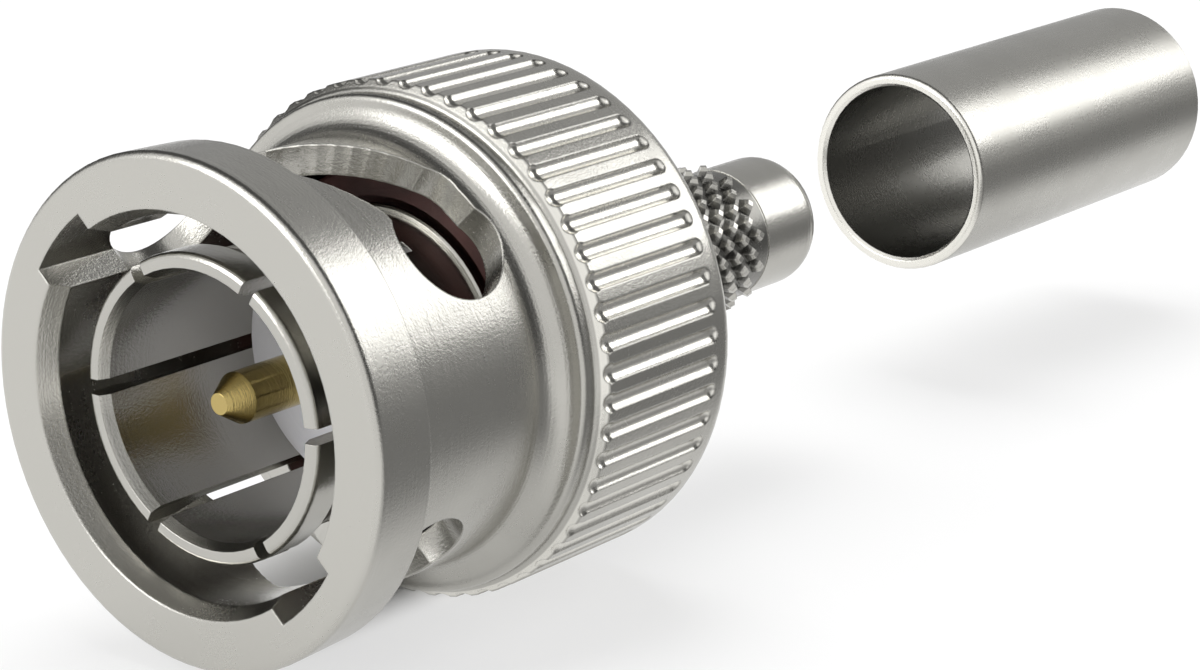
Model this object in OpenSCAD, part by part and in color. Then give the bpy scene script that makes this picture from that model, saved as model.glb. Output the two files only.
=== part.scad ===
// BNC connector: a male bayonet cable plug with its crimp ferrule set apart behind it.
// Lengths in millimetres.  The axis of the connector is +X, the nose points to -X,
// up is +Z, and the origin is where the centre pin leaves the insulator's face.
// Distances in the source are counted from the nose of the coupling nut.

/* [Coupling nut] */
// Length of the coupling nut, nose to rear face
nut_length = 13.4; // [13.2:0.1:14.2]
// Radius of the rounded flange at the nose
flange_radius = 6.6; // [6.5:0.05:6.7]
// Width of the flange at the nose
flange_width = 2.0; // [1.6:0.1:2.4]
// Radius of the bore that takes the jack
bore_radius = 4.95; // [4.9:0.01:5.05]
// Radius of the plain neck behind the flange
neck_radius = 5.75; // [5.65:0.05:5.9]
// Distance from the nose to the front face of the shoulder disc
shoulder_at = 7.45; // [7.3:0.05:7.8]
// Radius of the shoulder disc in front of the grip
shoulder_radius = 6.68; // [6.5:0.02:6.8]
// Radius over the lands of the grip
grip_radius = 6.98; // [6.9:0.02:7.25]

/* [Grip flutes] */
// Number of flutes round the grip
flute_count = 56; // [40:2:60]
// Radius of the cutter that makes a flute
flute_radius = 0.26; // [0.2:0.01:0.28]
// Direction of the first flute, from +Y towards +Z
flute_phase = 2.43; // [0:0.01:6.4]

/* [Bayonet] */
// Width of the entry under the flange
entry_width = 2.3; // [2.2:0.05:2.45]
// Width of a bayonet slot in the neck
slot_width = 2.8; // [2.7:0.05:3.1]
// Diameter of the round pockets at the two ends of a slot
stop_diameter = 3.2; // [3.15:0.05:3.25]
// Direction of the first bayonet entry, from +Y towards +Z
entry_angle = 42.5; // [30:0.5:60]
// Turn from the entry to the stop
bayonet_turn = 93; // [85:1:95]
// Distance from the nose to the middle of the slot before the climb
ramp_start = 3.65; // [3.65:0.05:3.8]
// Distance from the nose to the middle of the slot after the climb
ramp_end = 5.5; // [5.4:0.05:5.6]
// Turn from the entry to the start of the climb
climb_from = 33; // [28:1:40]
// Turn from the entry to the end of the climb
climb_to = 77; // [70:1:82]

/* [Outer contact] */
// Number of spring fingers
finger_count = 6; // [4:1:8]
// Inside radius of the slotted sleeve
contact_bore = 3.45; // [3.4:0.01:3.5]
// Outside radius of the sleeve behind the fingers
contact_radius = 3.68; // [3.62:0.01:3.72]
// Outside radius of the bead at the finger tips
bead_radius = 3.98; // [3.9:0.01:4.05]
// Distance from the nose of the nut to the finger tips
contact_at = 0.65; // [0.5:0.05:0.9]
// Width of the slots between the fingers
finger_gap = 0.4; // [0.3:0.02:0.5]

/* [Centre pin and insulators] */
// Radius of the mating end of the centre pin
pin_radius = 0.67; // [0.6:0.01:0.7]
// Distance from the nose of the nut to the tip of the pin
pin_at = 1.35; // [1.2:0.05:1.6]
// Distance from the nose of the nut to the face of the insulator
insulator_at = 6.0; // [5.8:0.05:6.2]

/* [Plug body] */
// Radius of the journal that the coupling nut turns on
journal_radius = 3.8; // [3.78:0.01:3.85]
// Radial running clearance of the turning nut
running_gap = 0.05; // [0.03:0.01:0.08]
// Distance from the nose of the nut to the end of the crimp neck
neck_end = 24.55; // [23.5:0.05:26]
// Radius of the plain end of the crimp neck
crimp_radius = 1.94; // [1.92:0.01:2.0]
// Radius of the bore through the crimp neck
cable_bore = 1.5; // [1.4:0.05:1.6]

/* [Crimp ferrule] */
// Distance from the nose of the nut to the front of the ferrule
ferrule_at = 31.5; // [28:0.5:36]
// Length of the ferrule
ferrule_length = 14.0; // [11:0.5:15]
// Outside radius of the ferrule
ferrule_radius = 3.15; // [3.05:0.01:3.2]
// Wall thickness of the ferrule
ferrule_wall = 0.38; // [0.3:0.01:0.42]

/* [Hidden] */
$fn = 96;
cut = 0.2;                                  // how far a cutter runs past a face
// coupling nut
mouth_bevel = 0.24;
mouth_depth = 0.6;
flange_round = 0.22;
flange_taper = 0.06;
flange_back_edge = 0.12;
neck_fillet = 0.75;
shoulder_round = 0.16;
shoulder_width = 0.42;
grip_bevel = 0.26;
grip_round = 0.55;
grip_at = shoulder_at + shoulder_width;
flute_start = 8.18;
flute_end = 12.4;
flute_middle = grip_radius + 0.12;          // how far out the cutter runs
flute_eye = 0.3;                            // radius of the plunge at the front
lip_front = 10.85;
recess_depth = 1.1;                         // from the rear face to the lip
lip_back = nut_length - recess_depth;
lip_radius = journal_radius + running_gap;
recess_radius = 4.9;
recess_bevel = 0.2;
// bayonet
entry_floor = 5.66;                         // how far out the entries reach
entry_back = 3.4;
slot_count = 2;                             // two bayonet slots, half a turn apart
ramp_steps = 10;
slot_step = 0.03;                           // the level stretches are this much slimmer
stop_forward = 0.1;                         // the stop sits this far forward of the ramp
stop_angle = entry_angle + bayonet_turn;
// outer contact
contact_back = 10.0;
tip_bevel = 0.15;
tip_round = 0.18;
bead_width = 1.0;
bead_end = 1.9;
stop_ring_at = 7.5;
stop_ring_radius = 3.82;
stop_ring_edge = 0.06;
finger_slot_end = insulator_at + 0.45;
finger_phase = -2;
// insulators and pin
insulator_back = 10.0;
collar_front = 8.4;
collar_radius = 1.12;
collar_gap = 0.03;
pin_gap = 0.02;
pin_tip_radius = 0.28;
pin_nose = 0.65;
shank_radius = 0.9;                         // the pin is thicker inside the insulator
barrel_radius = 0.95;
barrel_back = 13.6;
wire_radius = 0.5;
wire_depth = 3.2;
sight_hole = 0.22;
rear_insulator_radius = 2.6;
rear_insulator_back = 13.6;
// gasket and washers
gasket_front = 7.7;
gasket_inner = 4.0;                         // leaves a groove round the sleeve
gasket_step = 8.4;
seat_front = 9.1;
seat_back = 10.0;
seat_gap = 0.08;
seat_edge = 0.1;
gasket_radius = 4.78;
spring_height = 0.62;
spring_thickness = 0.18;
spring_inner = 3.9;
spring_outer = 4.75;
washer_front = 10.65;
washer_radius = 4.8;
// retaining ring
ring_gap = 0.03;
ring_front = lip_back + ring_gap;
ring_width = 0.5;
ring_groove = 3.4;
ring_radius = 4.45;
ring_opening = 1.6;
// plug body
hub_front = lip_back + 1.0;
hub_back = hub_front + 1.9;
hub_radius = 3.3;
hub_edge = 0.2;
crimp_base_radius = 2.2;
crimp_base_back = hub_back + 1.0;
knurl_back = 21.9;
knurl_core = 1.92;
knurl_rise = 0.28;
knurl_base = 0.33;
knurl_top = 0.12;
knurl_around = 14;
knurl_pitch = 0.36;
knurl_sink = 0.1;
crimp_round = 0.9;                          // radius of the rounded end of the neck
mouth_round = 0.2;
mouth_flat = 0.12;
crimp_centre = crimp_radius - crimp_round;
crimp_sweep = acos((cable_bore + mouth_flat - crimp_centre) / crimp_round);
// ferrule
ferrule_bore = ferrule_radius - ferrule_wall;
ferrule_edge = 0.1;
ferrule_round = 0.16;                       // the front's outer edge

// colours
nickel = [0.74, 0.73, 0.70];
gold = [0.80, 0.62, 0.28];
ptfe = [0.94, 0.94, 0.95];
silicone = [0.30, 0.12, 0.11];
spring_steel = [0.55, 0.55, 0.56];

// the parts are drawn round +Z from the nose and laid along +X here, so that
// an angle runs from +Y towards +Z
module along_x() {
    translate([-insulator_at, 0, 0])
        rotate([0, 90, 0])
            rotate([0, 0, 90])
                children();
}

// a quarter round in a profile: centre, radius, first and last angle
function arc(middle, radius, first, last, steps = 10) =
    [for (i = [0:steps])
        let (a = first + (last - first) * i / steps)
            [middle[0] + radius * cos(a), middle[1] + radius * sin(a)]];

// outline of the nut, radius against distance from the nose
module nut_profile() {
    polygon(concat(
        [[bore_radius + mouth_bevel, 0]],
        arc([flange_radius - flange_round, flange_round], flange_round, -90, 0),
        [[flange_radius - flange_taper, flange_width - flange_back_edge],
         [flange_radius - flange_taper - flange_back_edge, flange_width],
         [neck_radius, flange_width]],
        arc([neck_radius + neck_fillet, shoulder_at - neck_fillet], neck_fillet, 180, 90),
        arc([shoulder_radius - shoulder_round, shoulder_at + shoulder_round],
            shoulder_round, -90, 0, 5),
        [[shoulder_radius, grip_at],
         [grip_radius - grip_bevel, grip_at],
         [grip_radius, grip_at + grip_bevel]],
        arc([grip_radius - grip_round, nut_length - grip_round], grip_round, 0, 90),
        [[recess_radius + recess_bevel, nut_length],
         [recess_radius, nut_length - recess_bevel],
         [recess_radius, lip_back],
         [lip_radius, lip_back],
         [lip_radius, lip_front],
         [bore_radius, lip_front],
         [bore_radius, mouth_depth]]));
}

// one flute of the grip: a plunge at the front, a groove, a rounded end
module flute() {
    translate([flute_middle, 0, flute_start])
        sphere(r = flute_eye, $fn = 24);
    translate([flute_middle, 0, flute_start])
        cylinder(r = flute_radius, h = flute_end - flute_start, $fn = 24);
    translate([flute_middle, 0, flute_end])
        sphere(r = flute_radius, $fn = 24);
}

// a round cutter that stands out from the axis at a height
module radial_cutter(diameter, height) {
    translate([bore_radius - 1, 0, height])
        rotate([0, 90, 0])
            cylinder(d = diameter, h = grip_radius);
}

// a level stretch of a slot, from one turn to another at a height
module level_slot(first, last, height) {
    rotate([0, 0, first])
        rotate_extrude(angle = last - first)
            translate([bore_radius - 1, height - slot_width / 2 + slot_step])
                square([grip_radius, slot_width - 2 * slot_step]);
}

// one bayonet: the entry under the flange, a round pocket, the slot (level, a climb,
// level) and the round stop
module bayonet_slot() {
    intersection() {
        rotate([0, 0, entry_angle])
            translate([0, -entry_width / 2, -cut])
                cube([entry_floor + 1, entry_width, entry_back + cut]);
        translate([0, 0, -cut])
            cylinder(r = entry_floor, h = entry_back + 2 * cut);
    }
    rotate([0, 0, entry_angle])
        radial_cutter(stop_diameter, ramp_start);
    level_slot(entry_angle, entry_angle + climb_from, ramp_start);
    for (i = [0:ramp_steps])
        let (part = i / ramp_steps)
            rotate([0, 0, entry_angle + climb_from + (climb_to - climb_from) * part])
                radial_cutter(slot_width, ramp_start + (ramp_end - ramp_start) * part);
    level_slot(entry_angle + climb_to, stop_angle, ramp_end);
    rotate([0, 0, stop_angle])
        radial_cutter(stop_diameter, ramp_end - stop_forward);
}

module coupling_nut() {
    color(nickel)
        along_x()
            difference() {
                rotate_extrude()
                    nut_profile();
                for (i = [0:flute_count - 1])
                    rotate([0, 0, flute_phase + 360 / flute_count * i])
                        flute();
                for (i = [0:slot_count - 1])
                    rotate([0, 0, 360 / slot_count * i])
                        bayonet_slot();
            }
}

// slotted sleeve with a bead round the tips of its fingers
module outer_contact() {
    color(nickel)
        along_x()
            difference() {
                rotate_extrude()
                    polygon(concat(
                        [[contact_bore + tip_bevel, contact_at]],
                        arc([bead_radius - tip_round, contact_at + tip_round],
                            tip_round, -90, 0, 6),
                        [[bead_radius, contact_at + bead_width],
                         [contact_radius, contact_at + bead_end],
                         [contact_radius, stop_ring_at],
                         [stop_ring_radius - stop_ring_edge, stop_ring_at],
                         [stop_ring_radius, stop_ring_at + stop_ring_edge],
                         [stop_ring_radius, gasket_front],
                         [contact_radius, gasket_front],
                         [contact_radius, contact_back],
                         [contact_bore, contact_back],
                         [contact_bore, contact_at + 2 * tip_bevel]]));
                for (i = [0:finger_count - 1])
                    rotate([0, 0, finger_phase + 360 / finger_count * i])
                        translate([contact_bore - cut, -finger_gap / 2, contact_at - cut])
                            cube([bead_radius, finger_gap,
                                  finger_slot_end - contact_at + cut]);
            }
}

// one raised diamond of the crimp neck, standing out from its core
module diamond() {
    translate([knurl_core - knurl_sink, 0, 0])
        rotate([0, 90, 0])
            cylinder(r1 = knurl_base, r2 = knurl_top, h = knurl_rise + knurl_sink, $fn = 4);
}

module plug_body() {
    color(nickel)
        along_x() {
            rotate_extrude()
                polygon(concat(
                    [[contact_radius, seat_front],
                     [bore_radius - seat_gap - seat_edge, seat_front],
                     [bore_radius - seat_gap, seat_front + seat_edge],
                     [bore_radius - seat_gap, seat_back],
                     [journal_radius, seat_back],
                     [journal_radius, ring_front],
                     [ring_groove, ring_front],
                     [ring_groove, ring_front + ring_width],
                     [journal_radius, ring_front + ring_width],
                     [journal_radius, hub_front],
                     [hub_radius, hub_front],
                     [hub_radius, hub_back - hub_edge],
                     [hub_radius - hub_edge, hub_back],
                     [crimp_base_radius, hub_back],
                     [crimp_base_radius, crimp_base_back],
                     [knurl_core, crimp_base_back],
                     [knurl_core, knurl_back],
                     [crimp_radius, knurl_back]],
                    arc([crimp_centre, neck_end - crimp_round * sin(crimp_sweep)],
                        crimp_round, 0, crimp_sweep, 6),
                    [[cable_bore + mouth_round / 2, neck_end],
                     [cable_bore, neck_end - mouth_round],
                     [cable_bore, rear_insulator_back],
                     [rear_insulator_radius, rear_insulator_back],
                     [rear_insulator_radius, insulator_back],
                     [contact_radius, insulator_back]]));
            for (row = [0:floor((knurl_back - crimp_base_back) / knurl_pitch) - 2])
                for (i = [0:knurl_around - 1])
                    rotate([0, 0, 360 / knurl_around * (i + (row % 2) / 2)])
                        translate([0, 0, crimp_base_back + knurl_pitch * (row + 1)])
                            diamond();
        }
}

module gasket() {
    color(silicone)
        along_x()
            rotate_extrude()
                polygon([[gasket_inner, gasket_front],
                         [gasket_radius - seat_edge, gasket_front],
                         [gasket_radius, gasket_front + seat_edge],
                         [gasket_radius, seat_front],
                         [contact_radius, seat_front],
                         [contact_radius, gasket_step],
                         [gasket_inner, gasket_step]]);
}

module front_insulator() {
    color(ptfe)
        along_x()
            rotate_extrude()
                polygon([[shank_radius + pin_gap, insulator_at],
                         [contact_bore, insulator_at],
                         [contact_bore, insulator_back],
                         [collar_radius + collar_gap, insulator_back],
                         [collar_radius + collar_gap, collar_front],
                         [shank_radius + pin_gap, collar_front]]);
}

module rear_insulator() {
    color(ptfe)
        along_x()
            rotate_extrude()
                polygon([[barrel_radius + pin_gap, insulator_back],
                         [rear_insulator_radius, insulator_back],
                         [rear_insulator_radius, rear_insulator_back],
                         [barrel_radius + pin_gap, rear_insulator_back]]);
}

module centre_pin() {
    color(gold)
        along_x()
            difference() {
                rotate_extrude()
                    polygon([[0, pin_at],
                             [pin_tip_radius, pin_at],
                             [pin_radius, pin_at + pin_nose],
                             [pin_radius, insulator_at],
                             [shank_radius, insulator_at],
                             [shank_radius, collar_front],
                             [collar_radius, collar_front],
                             [collar_radius, insulator_back],
                             [barrel_radius, insulator_back],
                             [barrel_radius, barrel_back],
                             [wire_radius, barrel_back],
                             [wire_radius, barrel_back - wire_depth],
                             [0, barrel_back - wire_depth]]);
                translate([0, 0, barrel_back - wire_depth + 2 * sight_hole])
                    rotate([0, 90, 0])
                        cylinder(r = sight_hole, h = barrel_radius + cut, $fn = 24);
            }
}

// a ring bent across its middle, so that it pushes when it is flattened
module spring_washer() {
    bend = (spring_outer * spring_outer + pow(spring_height - spring_thickness, 2))
           / (2 * (spring_height - spring_thickness));
    color(spring_steel)
        along_x()
            intersection() {
                translate([0, 0, seat_back])
                    difference() {
                        cylinder(r = spring_outer, h = spring_height);
                        translate([0, 0, -cut])
                            cylinder(r = spring_inner, h = spring_height + 2 * cut);
                    }
                translate([0, 0, seat_back + spring_height - bend])
                    rotate([90, 0, 0])
                        difference() {
                            cylinder(r = bend, h = 3 * spring_outer, center = true);
                            cylinder(r = bend - spring_thickness, h = 4 * spring_outer,
                                     center = true);
                        }
            }
}

module thrust_washer() {
    color(spring_steel)
        along_x()
            translate([0, 0, washer_front])
                difference() {
                    cylinder(r = washer_radius, h = lip_front - washer_front);
                    translate([0, 0, -cut])
                        cylinder(r = lip_radius, h = lip_front - washer_front + 2 * cut);
                }
}

// an open ring that snaps into the groove of the journal and keeps the nut on
module retaining_ring() {
    color(spring_steel)
        along_x()
            translate([0, 0, ring_front])
                difference() {
                    cylinder(r = ring_radius, h = ring_width);
                    translate([0, 0, -cut])
                        cylinder(r = ring_groove, h = ring_width + 2 * cut);
                    translate([0, -ring_opening / 2, -cut])
                        cube([ring_radius + cut, ring_opening, ring_width + 2 * cut]);
                }
}

module crimp_ferrule() {
    color(nickel)
        along_x()
            translate([0, 0, ferrule_at])
                rotate_extrude()
                    polygon(concat(
                        [[ferrule_bore + ferrule_edge, 0]],
                        arc([ferrule_radius - ferrule_round, ferrule_round],
                            ferrule_round, -90, 0, 5),
                        [[ferrule_radius, ferrule_length - ferrule_edge],
                         [ferrule_radius - ferrule_edge, ferrule_length],
                         [ferrule_bore + ferrule_edge, ferrule_length],
                         [ferrule_bore, ferrule_length - ferrule_edge],
                         [ferrule_bore, ferrule_edge]]));
}

coupling_nut();
outer_contact();
plug_body();
gasket();
front_insulator();
rear_insulator();
centre_pin();
spring_washer();
thrust_washer();
retaining_ring();
crimp_ferrule();
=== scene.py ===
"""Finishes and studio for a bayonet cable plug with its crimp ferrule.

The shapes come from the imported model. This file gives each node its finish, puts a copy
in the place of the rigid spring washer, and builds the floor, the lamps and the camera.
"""

import bpy
from mathutils import Matrix, Vector

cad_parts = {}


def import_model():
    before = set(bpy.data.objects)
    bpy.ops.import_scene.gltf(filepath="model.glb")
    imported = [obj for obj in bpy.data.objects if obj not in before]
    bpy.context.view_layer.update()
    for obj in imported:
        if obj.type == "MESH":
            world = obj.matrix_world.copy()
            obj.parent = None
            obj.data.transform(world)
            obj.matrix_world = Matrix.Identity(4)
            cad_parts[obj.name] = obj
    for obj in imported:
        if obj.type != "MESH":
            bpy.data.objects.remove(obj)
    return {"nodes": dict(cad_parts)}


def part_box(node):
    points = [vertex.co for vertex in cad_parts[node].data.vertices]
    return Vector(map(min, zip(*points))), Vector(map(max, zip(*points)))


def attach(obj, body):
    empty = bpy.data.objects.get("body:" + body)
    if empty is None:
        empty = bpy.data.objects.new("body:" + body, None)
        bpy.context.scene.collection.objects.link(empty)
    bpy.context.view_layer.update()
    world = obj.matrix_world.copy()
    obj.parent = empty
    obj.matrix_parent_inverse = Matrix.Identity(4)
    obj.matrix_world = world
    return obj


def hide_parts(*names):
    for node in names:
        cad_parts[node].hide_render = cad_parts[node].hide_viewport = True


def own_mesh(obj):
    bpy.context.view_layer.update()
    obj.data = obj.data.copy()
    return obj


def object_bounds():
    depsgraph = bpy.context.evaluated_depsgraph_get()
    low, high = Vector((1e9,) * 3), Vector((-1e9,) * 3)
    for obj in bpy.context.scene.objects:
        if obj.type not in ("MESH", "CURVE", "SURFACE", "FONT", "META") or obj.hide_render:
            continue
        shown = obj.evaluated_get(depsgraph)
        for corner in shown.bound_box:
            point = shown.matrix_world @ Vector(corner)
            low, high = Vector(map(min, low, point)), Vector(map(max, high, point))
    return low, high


bl_info = {
    "name": "Bayonet Cable Plug",
    "version": (1, 0, 0),
    "blender": (4, 5, 0),
    "location": "3D View > Sidebar > Cable Plug",
    "description": "Finishes a bayonet cable plug and its ferrule and sets up a studio round it",
    "category": "Object",
}

MM = 0.001

# where painted shade and painted highlights on the plate begin and end, in mm
SOFT_BAND = 0.04                    # the width over which it changes
GRIP_RADIUS = 6.98                  # over the lands
FLUTE_FLOOR = 6.76                  # just inside the deepest cut
GRIP_AT, GRIP_END = 1.95, 6.75      # the fluted stretch of the axis
FACE_SKIN = 0.1                     # from a front face to just behind it
FINGER_BORE = 3.56                  # between the fingers' inside and their outside
KNURL_GROOVE = 2.08                 # under the points of the knurl
NECK_COLLAR = 2.7                   # from just before the plain collar to the neck's end
FERRULE_BORE = 2.79                 # just outside the ferrule's bore
FERRULE_REAR = 0.2                  # left without painted shade at the ferrule's far end

# the patterns in the plate, in cells per mm
CLOUD, SPECK, RING, STREAK = 0.55, 14.0, 9.0, 6.0
DRAWN_OUT = (0.05, 1.0, 1.0)        # a streak runs twenty times its width along the axis

# factors on the plate's colour where it is dull, where it glints and in a streak
DULL_SHADE, GLINT_SHADE, STREAK_SHADE = 0.86, 1.1, 0.8

# how deep the bumps of each finish run, in mm
PLATE_DEPTH, PLASTIC_DEPTH, RUBBER_DEPTH = 0.01, 0.02, 0.008
BEVEL_SAMPLES = 6

# the studio, in metres and watts, with each lamp's place given from the model's middle
LAMPS = (
    # name, place, side of the square, power, mirrored by metal
    ("lamp over", (0.05, 0.08, 0.30), 0.22, 0.9, False),
    ("lamp left", (-0.26, 0.10, 0.16), 0.20, 0.5, True),
    ("lamp right", (0.225, -0.135, 0.145), 0.17, 0.23, True),
)
FLOOR_REACH = 3.0
FLOOR_GLOW = 0.65                   # share of plain white that is seen in the floor

# edges of two places on the floor, each a limit and the soft band round it, in mm: where the
# shadow under the nut is painted deeper, and where metal mirrors a dim table
UNDER_NUT_FRONT, UNDER_NUT_BACK = (-3.0, 3.0), (9.0, 4.0)
UNDER_NUT_NEAR, UNDER_NUT_FAR = (-0.5, 2.0), (6.5, 4.0)
TABLE_FRONT, TABLE_FAR = (-4.0, 14.0), (-10.0, 10.0)

# ends of the room's bands along the axis, from 0 at the nose's side to 1 past the ferrule
WHITE_TO, DIM_FROM, DIM_TO, WALL_FROM = 0.36, 0.45, 0.78, 0.86

SENSOR_WIDTH = 36.0                 # mm
CLIP_NEAR, CLIP_FAR = 0.002, 20.0   # m
CAMERA_RIGHT = Vector((0.62452, -0.78101, 0.0))
CAMERA_UP = Vector((0.22746, 0.18188, 0.95665))

WHITE = (1.0, 1.0, 1.0, 1.0)

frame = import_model()
cad_low, cad_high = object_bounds()


# ---------------------------------------------------------------- shader maths


class Wire:
    """A shader socket that takes part in a sum as a number does."""

    def __init__(self, tree, socket):
        self.tree = tree
        self.socket = socket

    def sum(self, operation, *terms):
        return self.tree.add("Math", {"operation": operation}, terms)

    def __add__(self, other):
        return self.sum("ADD", self, other)

    __radd__ = __add__

    def __sub__(self, other):
        return self.sum("SUBTRACT", self, other)

    def __rsub__(self, other):
        return self.sum("SUBTRACT", other, self)

    def __mul__(self, other):
        return self.sum("MULTIPLY", self, other)

    __rmul__ = __mul__

    def __pow__(self, other):
        return self.sum("POWER", self, other)

    def out(self, name):
        """Another output of the node this socket belongs to."""
        return Wire(self.tree, self.socket.node.outputs[name])


class Tree:
    """A node tree that is filled through one method."""

    def __init__(self, owner):
        owner.use_nodes = True
        self.nodes = owner.node_tree.nodes
        self.links = owner.node_tree.links
        self.nodes.clear()

    def add(self, kind, settings=None, values=(), out=0):
        """Adds a node: its settings come first, then the values or links of its sockets."""
        node = self.nodes.new("ShaderNode" + kind)
        for name, setting in (settings or {}).items():
            if name == "stops":
                self.set_stops(node.color_ramp, setting)
            else:
                setattr(node, name, setting)
        pairs = values.items() if isinstance(values, dict) else enumerate(values)
        for name, value in pairs:
            if isinstance(value, Wire):
                self.links.new(value.socket, node.inputs[name])
            else:
                node.inputs[name].default_value = value
        return Wire(self, node.outputs[out]) if len(node.outputs) else None

    @staticmethod
    def set_stops(ramp, stops):
        while len(ramp.elements) < len(stops):
            ramp.elements.new(1.0)
        for element, (position, grey) in zip(ramp.elements, stops):
            element.position = position
            element.color = (grey, grey, grey, 1.0)

    def mix(self, share, low, high):
        """A colour between two colours."""
        return self.add("Mix", {"data_type": "RGBA"}, {0: share, 6: low, 7: high}, out=2)

    def ramp(self, value, *stops):
        """A grey ramp from pairs of a position and a grey."""
        return self.add("ValToRGB", {"stops": stops}, [value])

    def noise(self, vector, scale, detail=2.0, roughness=0.5):
        """Noise from 0 to 1, with scale in cells per millimetre."""
        return self.add("TexNoise", {}, {
            "Vector": vector, "Scale": scale / MM, "Detail": detail, "Roughness": roughness})

    def place(self):
        """Where a point lies in the model's own frame, in metres."""
        return self.add("TexCoord", out="Object")

    def stretched(self, vector, by):
        """The place with each axis multiplied."""
        return self.add("VectorMath", {"operation": "MULTIPLY"}, [vector, by])

    def round_the_axis(self, vector):
        """Distance along the axis and distance from it, as a vector that ignores the turn."""
        parts = self.add("SeparateXYZ", {}, [vector])
        along, side, up = parts, parts.out("Y"), parts.out("Z")
        away = (side * side + up * up) ** 0.5
        return self.add("CombineXYZ", {}, [along, away, 0.0]), along, away

    def step(self, value, limit, band, under, over):
        """One number under a limit in mm and another over it, with a soft band between."""
        return self.add("MapRange", {"interpolation_type": "SMOOTHSTEP"}, {
            "Value": value, "From Min": (limit - band / 2) * MM,
            "From Max": (limit + band / 2) * MM, "To Min": under, "To Max": over})

    def step_down(self, value, limit, band=SOFT_BAND):
        """1 under a limit and 0 over it."""
        return self.step(value, limit, band, 1.0, 0.0)

    def step_up(self, value, limit, band=SOFT_BAND):
        """0 under a limit and 1 over it."""
        return self.step(value, limit, band, 0.0, 1.0)

    def relief(self, height, depth, edge=0.0):
        """A surface bent by a height, depth mm deep, with its edges rounded by edge mm."""
        values = {"Strength": 1.0, "Distance": depth * MM, "Height": height}
        if edge:
            values["Normal"] = self.add(
                "Bevel", {"samples": BEVEL_SAMPLES}, {"Radius": edge * MM})
        return self.add("Bump", {}, values)

    def finish(self, shader):
        self.add("OutputMaterial", {}, {"Surface": shader})


def rgba(colour):
    return (*colour, 1.0)


def shade(colour, factor):
    return rgba([min(1.0, c * factor) for c in colour])


# ---------------------------------------------------------------- finishes


def swing(noise, amount):
    """Noise that runs as far under nought as over it."""
    return (noise - 0.5) * amount


def plated(name, colour, roughness, grain, rings, drawn=0.0, edge=0.0, mottle=0.06,
           painted_light_patches=()):
    """Metal with fine grain, tool rings and uneven lustre.

    drawn adds streaks along the axis, edge is the radius in mm that light finds on a
    sharp edge, and mottle is how uneven the colour is. painted_light_patches are pairs of a
    mask and the factor that the colour takes in it: painted shade where the factor is under
    1, a painted highlight where it is over 1.
    """
    material = bpy.data.materials.new(name)
    tree = Tree(material)
    place = tree.place()
    round_place, along, away = tree.round_the_axis(place)

    cloud = tree.noise(place, CLOUD, detail=3.0)
    speck = tree.noise(place, SPECK, detail=3.0, roughness=0.6)
    ring = tree.noise(round_place, RING, detail=3.0, roughness=0.65)

    dull = tree.ramp(cloud, (0.35, 0.0), (0.68, 1.0))
    tone = tree.mix(dull * (5.0 * mottle), rgba(colour), shade(colour, DULL_SHADE))
    tone = tree.mix(speck * (4.0 * mottle), tone, shade(colour, GLINT_SHADE))
    uneven = swing(cloud, 0.5) + swing(speck, 0.35) + swing(ring, 0.3)
    height = speck * grain + ring * rings
    if drawn:
        streak = tree.noise(tree.stretched(place, DRAWN_OUT), STREAK, detail=3.0,
                            roughness=0.6)
        tone = tree.mix(streak * drawn, tone, shade(colour, STREAK_SHADE))
        height = height + streak * (0.4 * drawn)
    # painted light: each patch paints shade into a hollow or a highlight onto a face
    for mask, factor in painted_light_patches:
        tone = tree.mix(mask(tree, along, away), tone, shade(colour, factor))

    tree.finish(tree.add("BsdfPrincipled", {}, {
        "Base Color": tone, "Metallic": 1.0, "Roughness": roughness + uneven * roughness,
        "Normal": tree.relief(height, PLATE_DEPTH, edge)}))
    return material


def reach(node):
    """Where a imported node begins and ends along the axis, in mm."""
    low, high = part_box(node)
    return low[0] / MM, high[0] / MM


def painted_shade_within(radius, end):
    """Where the plate lies inside a radius and before a distance along the axis, in mm: a hollow
    that gets painted shade.
    """
    return lambda tree, along, away: (tree.step_down(away, radius)
                                      * tree.step_down(along, end))


def before(end):
    """Where the plate lies before a distance along the axis, in mm: a front face that gets a
    painted highlight.
    """
    return lambda tree, along, away: tree.step_down(along, end)


def painted_flute_highlight(tree, along, away):
    """The floors of the grip's flutes, between the lands, which get a painted highlight."""
    return (tree.step_down(away, GRIP_RADIUS - SOFT_BAND) * tree.step_up(away, FLUTE_FLOOR)
            * tree.step_up(along, GRIP_AT) * tree.step_down(along, GRIP_END))


def fluoroplastic(name, colour):
    """White turned fluoroplastic: waxy, slightly see-through, with faint tool rings."""
    material = bpy.data.materials.new(name)
    tree = Tree(material)
    place = tree.place()
    round_place, _, _ = tree.round_the_axis(place)
    cloud = tree.noise(place, scale=0.9)
    ring = tree.noise(round_place, scale=7.0, detail=3.0, roughness=0.6)
    tone = tree.mix(tree.ramp(cloud, (0.3, 0.0), (0.75, 1.0)), rgba(colour),
                    shade(colour, 0.93))
    tree.finish(tree.add("BsdfPrincipled", {}, {
        "Base Color": tone, "Roughness": 0.42 + swing(ring, 0.15),
        "Normal": tree.relief(ring, PLASTIC_DEPTH),
        "Subsurface Weight": 0.2, "Subsurface Radius": (1.0, 1.0, 1.0),
        "Subsurface Scale": 0.4 * MM}))
    return material


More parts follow.
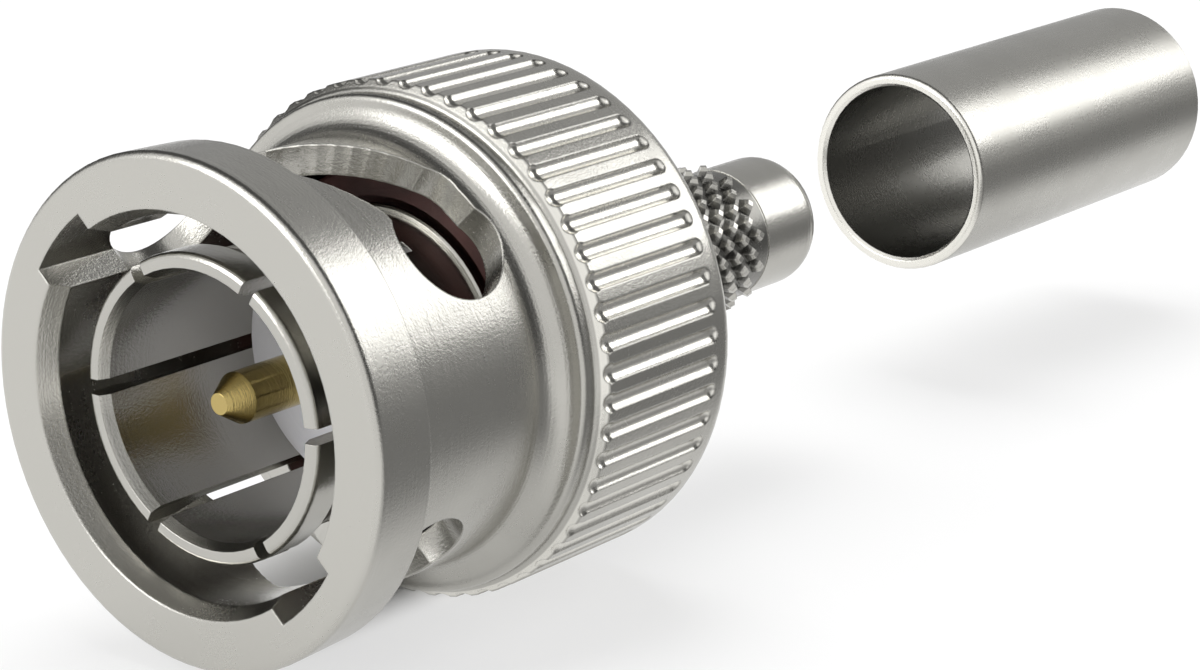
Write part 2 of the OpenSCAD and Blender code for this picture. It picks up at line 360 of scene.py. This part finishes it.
def silicone_rubber(name, colour):
    """Dark red moulded silicone with a soft sheen and a dusty skin."""
    material = bpy.data.materials.new(name)
    tree = Tree(material)
    place = tree.place()
    cloud = tree.noise(place, scale=1.1, detail=3.0)
    skin = tree.noise(place, scale=22.0)
    tone = tree.mix(tree.ramp(cloud, (0.3, 0.0), (0.7, 1.0)), rgba(colour),
                    shade(colour, 1.6))
    tree.finish(tree.add("BsdfPrincipled", {}, {
        "Base Color": tone, "Roughness": 0.48 + swing(skin, 0.2),
        "Normal": tree.relief(skin, RUBBER_DEPTH)}))
    return material


def dress(node, material):
    """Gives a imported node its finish."""
    mesh = frame["nodes"][node].data
    mesh.materials.clear()
    mesh.materials.append(material)


# ---------------------------------------------------------------- what a user can change


class PlugFinish(bpy.types.PropertyGroup):
    """Colours and lustre of the plug's own finishes."""

    nickel: bpy.props.FloatVectorProperty(
        name="Nickel", description="Colour of the nickel plate", subtype="COLOR",
        size=3, min=0.0, max=1.0, default=(0.50, 0.49, 0.455))
    nickel_roughness: bpy.props.FloatProperty(
        name="Nickel roughness", description="Satin of the nickel on the coupling nut",
        subtype="FACTOR", min=0.05, max=1.0, default=0.25)
    gold: bpy.props.FloatVectorProperty(
        name="Gold", description="Colour of the gold plate on the pin", subtype="COLOR",
        size=3, min=0.0, max=1.0, default=(0.50, 0.39, 0.15))
    insulation: bpy.props.FloatVectorProperty(
        name="Insulation", description="Colour of the fluoroplastic", subtype="COLOR",
        size=3, min=0.0, max=1.0, default=(0.90, 0.90, 0.95))
    silicone: bpy.props.FloatVectorProperty(
        name="Silicone", description="Colour of the gasket", subtype="COLOR",
        size=3, min=0.0, max=1.0, default=(0.07, 0.025, 0.022))
    spring_steel: bpy.props.FloatVectorProperty(
        name="Spring steel", description="Colour of the washers and the retaining ring",
        subtype="COLOR", size=3, min=0.0, max=1.0, default=(0.42, 0.42, 0.42))
    edge: bpy.props.FloatProperty(
        name="Edge softening", description="Radius of the light on a machined edge, mm",
        min=0.0, max=0.2, default=0.08)
    spring_kept: bpy.props.FloatProperty(
        name="Spring kept", description="Height that the pressed spring washer keeps",
        subtype="FACTOR", min=0.3, max=1.0, default=0.38)


class StudioSettings(bpy.types.PropertyGroup):
    """Floor, lamps and camera."""

    floor: bpy.props.FloatVectorProperty(
        name="Floor", description="Colour of the floor", subtype="COLOR",
        size=3, min=0.0, max=1.0, default=(0.74, 0.74, 0.74))
    table: bpy.props.FloatProperty(
        name="Table", description="Brightness of the table that the metal mirrors",
        subtype="FACTOR", min=0.0, max=1.0, default=0.28)
    daylight: bpy.props.FloatProperty(
        name="Room light", description="Strength of the even light from all round",
        min=0.0, max=2.0, default=0.55)
    ceiling: bpy.props.FloatProperty(
        name="Ceiling", description="Brightness of the dim band that the metal mirrors",
        subtype="FACTOR", min=0.0, max=1.0, default=0.09)
    far_wall: bpy.props.FloatProperty(
        name="Far wall", description="Brightness of the room beyond the ferrule",
        subtype="FACTOR", min=0.0, max=1.0, default=0.5)
    lens: bpy.props.FloatProperty(
        name="Lens", description="Focal length of the camera, mm",
        min=20.0, max=300.0, default=96.0)
    camera_place: bpy.props.FloatVectorProperty(
        name="Camera place", description="Where the camera stands",
        subtype="XYZ", unit="LENGTH", size=3, default=(-0.0574, -0.05423, 0.02464))


# ---------------------------------------------------------------- pieces


class FINISH_OT_nut(bpy.types.Operator):
    """Satin nickel for the fluted coupling nut"""
    bl_idname = "cable_plug.nut"
    bl_label = "Coupling Nut"

    def execute(self, context):
        look = context.scene.plug_finish
        nose, _ = reach("coupling_nut")
        # painted highlight: the flute floors are painted 1.6 times as bright, standing in for
        # the light that the concave flutes catch
        dress("coupling_nut", plated(
            "satin nickel, nut", look.nickel, roughness=look.nickel_roughness, grain=0.6,
            rings=0.4, edge=look.edge, mottle=0.1,
            # painted highlight: the nut's front face is painted a little brighter
            painted_light_patches=((painted_flute_highlight, 1.6), (before(nose + FACE_SKIN), 1.06))))
        return {"FINISHED"}


class FINISH_OT_contacts(bpy.types.Operator):
    """Nickel for the slotted outer contact and gold for the centre pin"""
    bl_idname = "cable_plug.contacts"
    bl_label = "Contacts"

    def execute(self, context):
        look = context.scene.plug_finish
        _, end = reach("outer_contact")
        # painted shade: the fingers' inside is painted darker, where less light reaches
        dress("outer_contact", plated(
            "bright nickel, contact", look.nickel, roughness=0.22, grain=0.5, rings=0.4,
            edge=0.03, painted_light_patches=((painted_shade_within(FINGER_BORE, end), 0.8),)))
        dress("centre_pin", plated(
            "gold plate, pin", look.gold, roughness=0.18, grain=0.3, rings=0.5, edge=0.03))
        return {"FINISHED"}


class FINISH_OT_body(bpy.types.Operator):
    """Nickel for the body with its knurled neck, and for the ferrule"""
    bl_idname = "cable_plug.body"
    bl_label = "Body and Ferrule"

    def execute(self, context):
        look = context.scene.plug_finish
        _, neck_end = reach("plug_body")
        # painted shade: the knurl's grooves are painted much darker, standing in for the shade
        # in them
        dress("plug_body", plated(
            "nickel, body", look.nickel, roughness=0.24, grain=0.5, rings=0.5, edge=0.02,
            painted_light_patches=((painted_shade_within(KNURL_GROOVE, neck_end - NECK_COLLAR), 0.4),)))
        mouth, rear = reach("crimp_ferrule")
        dress("crimp_ferrule", plated(
            "drawn nickel, ferrule", look.nickel, roughness=0.28, grain=0.5, rings=0.1,
            drawn=0.4, edge=0.04,
            # painted shade: the ferrule's bore is painted darker, except at its far end
            painted_light_patches=((painted_shade_within(FERRULE_BORE, rear - FERRULE_REAR), 0.5),
                     # painted highlight: the ferrule's front lip is painted much brighter
                     (before(mouth + FACE_SKIN), 1.7))))
        return {"FINISHED"}


class FINISH_OT_insulation(bpy.types.Operator):
    """White fluoroplastic for the insulators and dark red silicone for the gasket"""
    bl_idname = "cable_plug.insulation"
    bl_label = "Insulators and Gasket"

    def execute(self, context):
        look = context.scene.plug_finish
        plastic = fluoroplastic("fluoroplastic", look.insulation)
        dress("front_insulator", plastic)
        dress("rear_insulator", plastic)
        dress("gasket", silicone_rubber("silicone", look.silicone))
        return {"FINISHED"}


class FINISH_OT_rings(bpy.types.Operator):
    """Spring steel for the rings, and a copy of the spring washer in its place"""
    bl_idname = "cable_plug.rings"
    bl_label = "Washers and Ring"

    def execute(self, context):
        look = context.scene.plug_finish
        steel = plated("spring steel", look.spring_steel, roughness=0.32, grain=0.6,
                       rings=0.8, edge=0.02)
        for node in ("spring_washer", "thrust_washer", "retaining_ring"):
            dress(node, steel)
        mesh = frame["nodes"]["spring_washer"].data.copy()
        spring = bpy.data.objects.new("flattening_spring_washer", mesh)
        context.scene.collection.objects.link(spring)
        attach(spring, "plug")
        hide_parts("spring_washer")
        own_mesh(spring)
        return {"FINISHED"}


# ---------------------------------------------------------------- studio


def aimed(place, target):
    """A matrix at a place that looks at a target with its top up."""
    turn = (Vector(target) - Vector(place)).to_track_quat("-Z", "Y")
    return Matrix.Translation(place) @ turn.to_matrix().to_4x4()


def soft_lamp(name, place, target, side, power, mirrored):
    """A square soft lamp aimed at a target, which metal may or may not mirror."""
    light = bpy.data.lights.new(name, "AREA")
    light.shape = "SQUARE"
    light.size = side
    light.energy = power
    lamp = bpy.data.objects.new(name, light)
    bpy.context.scene.collection.objects.link(lamp)
    lamp.matrix_world = aimed(place, target)
    lamp.visible_glossy = mirrored


def sheet(name, half, level, material):
    """A flat square at a level."""
    mesh = bpy.data.meshes.new(name)
    mesh.from_pydata([(-half, -half, level), (half, -half, level),
                      (half, half, level), (-half, half, level)], [], [(0, 1, 2, 3)])
    mesh.materials.append(material)
    piece = bpy.data.objects.new(name, mesh)
    bpy.context.scene.collection.objects.link(piece)


def seen_directly(tree):
    """1 for rays from the camera, off a glossy surface or through a clear one, else 0."""
    path = tree.add("LightPath")
    total = path.out("Is Camera Ray") + path.out("Is Glossy Ray")
    total = total + path.out("Is Transmission Ray")
    return tree.add("Math", {"operation": "MINIMUM"}, [total, 1.0])


class FINISH_OT_studio(bpy.types.Operator):
    """Pale floor, white surroundings, a room for the metal to mirror, lamps and camera"""
    bl_idname = "cable_plug.studio"
    bl_label = "Studio"

    def execute(self, context):
        look = context.scene.plug_studio
        centre = (cad_low + cad_high) / 2
        self.floor(look, cad_low.z)
        self.surroundings(context.scene, look)
        for name, place, side, power, mirrored in LAMPS:
            soft_lamp(name, centre + Vector(place), centre, side, power, mirrored)
        self.camera(context.scene, look)
        context.scene.view_settings.view_transform = "Standard"
        return {"FINISHED"}

    def floor(self, look, level):
        material = bpy.data.materials.new("floor")
        tree = Tree(material)
        place = tree.place()
        tone = tree.mix(tree.noise(place, scale=0.02) * 0.4, rgba(look.floor),
                        shade(look.floor, 0.98))
        lit = tree.add("BsdfPrincipled", {}, {"Base Color": tone, "Roughness": 0.9})
        white = tree.add("Emission", {}, {"Color": WHITE, "Strength": 1.0})
        along = tree.add("SeparateXYZ", {}, [place])
        across = along.out("Y")
        # right under the nut the white glow is left out, so only the shaded floor shows: a real
        # shadow, painted deeper in a set patch
        under = (tree.step_up(along, *UNDER_NUT_FRONT)
                 * tree.step_down(along, *UNDER_NUT_BACK)
                 * tree.step_up(across, *UNDER_NUT_NEAR)
                 * tree.step_down(across, *UNDER_NUT_FAR))
        shown = tree.add("MixShader", {}, [
            seen_directly(tree) * FLOOR_GLOW * (1.0 - under), lit, white])
        # metal mirrors a dim table on the camera's side
        beyond = tree.step_up(along, *TABLE_FRONT) * tree.step_down(across, *TABLE_FAR)
        dim = tree.add("Emission", {}, {"Color": rgba((look.table,) * 3), "Strength": 1.0})
        glossy = tree.add("LightPath").out("Is Glossy Ray")
        tree.finish(tree.add("MixShader", {}, [beyond * glossy, shown, dim]))
        sheet("floor", FLOOR_REACH, level, material)

    def surroundings(self, scene, look):
        """White to the camera, and to the metal a room in bands along the axis."""
        world = bpy.data.worlds.new("surroundings")
        scene.world = world
        tree = Tree(world)
        even = tree.add("Background", {}, {"Color": WHITE, "Strength": look.daylight})
        white = tree.add("Background", {}, {"Color": WHITE, "Strength": 1.0})
        along = tree.add("SeparateXYZ", {}, [tree.add("TexCoord", out="Generated")])
        band = tree.ramp(along * 0.5 + 0.5, (0.0, 1.0), (WHITE_TO, 1.0),
                         (DIM_FROM, look.ceiling), (DIM_TO, look.ceiling),
                         (WALL_FROM, look.far_wall), (1.0, look.far_wall))
        room = tree.add("Background", {}, {"Color": band, "Strength": 1.0})
        path = tree.add("LightPath")
        mirrored = tree.add("MixShader", {}, [path.out("Is Glossy Ray"), white, room])
        shown = tree.add("MixShader", {}, [seen_directly(tree), even, mirrored])
        tree.add("OutputWorld", {}, {"Surface": shown})

    def camera(self, scene, look):
        data = bpy.data.cameras.new("camera")
        data.lens = look.lens
        data.sensor_width = SENSOR_WIDTH
        data.clip_start, data.clip_end = CLIP_NEAR, CLIP_FAR
        camera = bpy.data.objects.new("camera", data)
        scene.collection.objects.link(camera)
        back = CAMERA_RIGHT.cross(CAMERA_UP)
        turn = Matrix((CAMERA_RIGHT, CAMERA_UP, back)).transposed()
        camera.matrix_world = Matrix.Translation(look.camera_place) @ turn.to_4x4()
        scene.camera = camera


class VIEW3D_PT_cable_plug(bpy.types.Panel):
    """Lists the steps that finish the plug"""
    bl_label = "Cable Plug"
    bl_space_type = "VIEW_3D"
    bl_region_type = "UI"
    bl_category = "Cable Plug"

    def draw(self, context):
        layout = self.layout
        for step in STEPS:
            layout.operator(step.bl_idname)
        for group in (context.scene.plug_finish, context.scene.plug_studio):
            box = layout.box()
            for name in group.__annotations__:
                box.prop(group, name)


STEPS = (FINISH_OT_nut, FINISH_OT_contacts, FINISH_OT_body, FINISH_OT_insulation,
         FINISH_OT_rings, FINISH_OT_studio)
CLASSES = (PlugFinish, StudioSettings, *STEPS, VIEW3D_PT_cable_plug)


def register():
    for cls in CLASSES:
        bpy.utils.register_class(cls)
    bpy.types.Scene.plug_finish = bpy.props.PointerProperty(type=PlugFinish)
    bpy.types.Scene.plug_studio = bpy.props.PointerProperty(type=StudioSettings)


def unregister():
    del bpy.types.Scene.plug_studio
    del bpy.types.Scene.plug_finish
    for cls in reversed(CLASSES):
        bpy.utils.unregister_class(cls)


def main():
    register()
    bpy.ops.cable_plug.nut()
    bpy.ops.cable_plug.contacts()
    bpy.ops.cable_plug.body()
    bpy.ops.cable_plug.insulation()
    bpy.ops.cable_plug.rings()
    bpy.ops.cable_plug.studio()


if __name__ == "__main__":
    main()
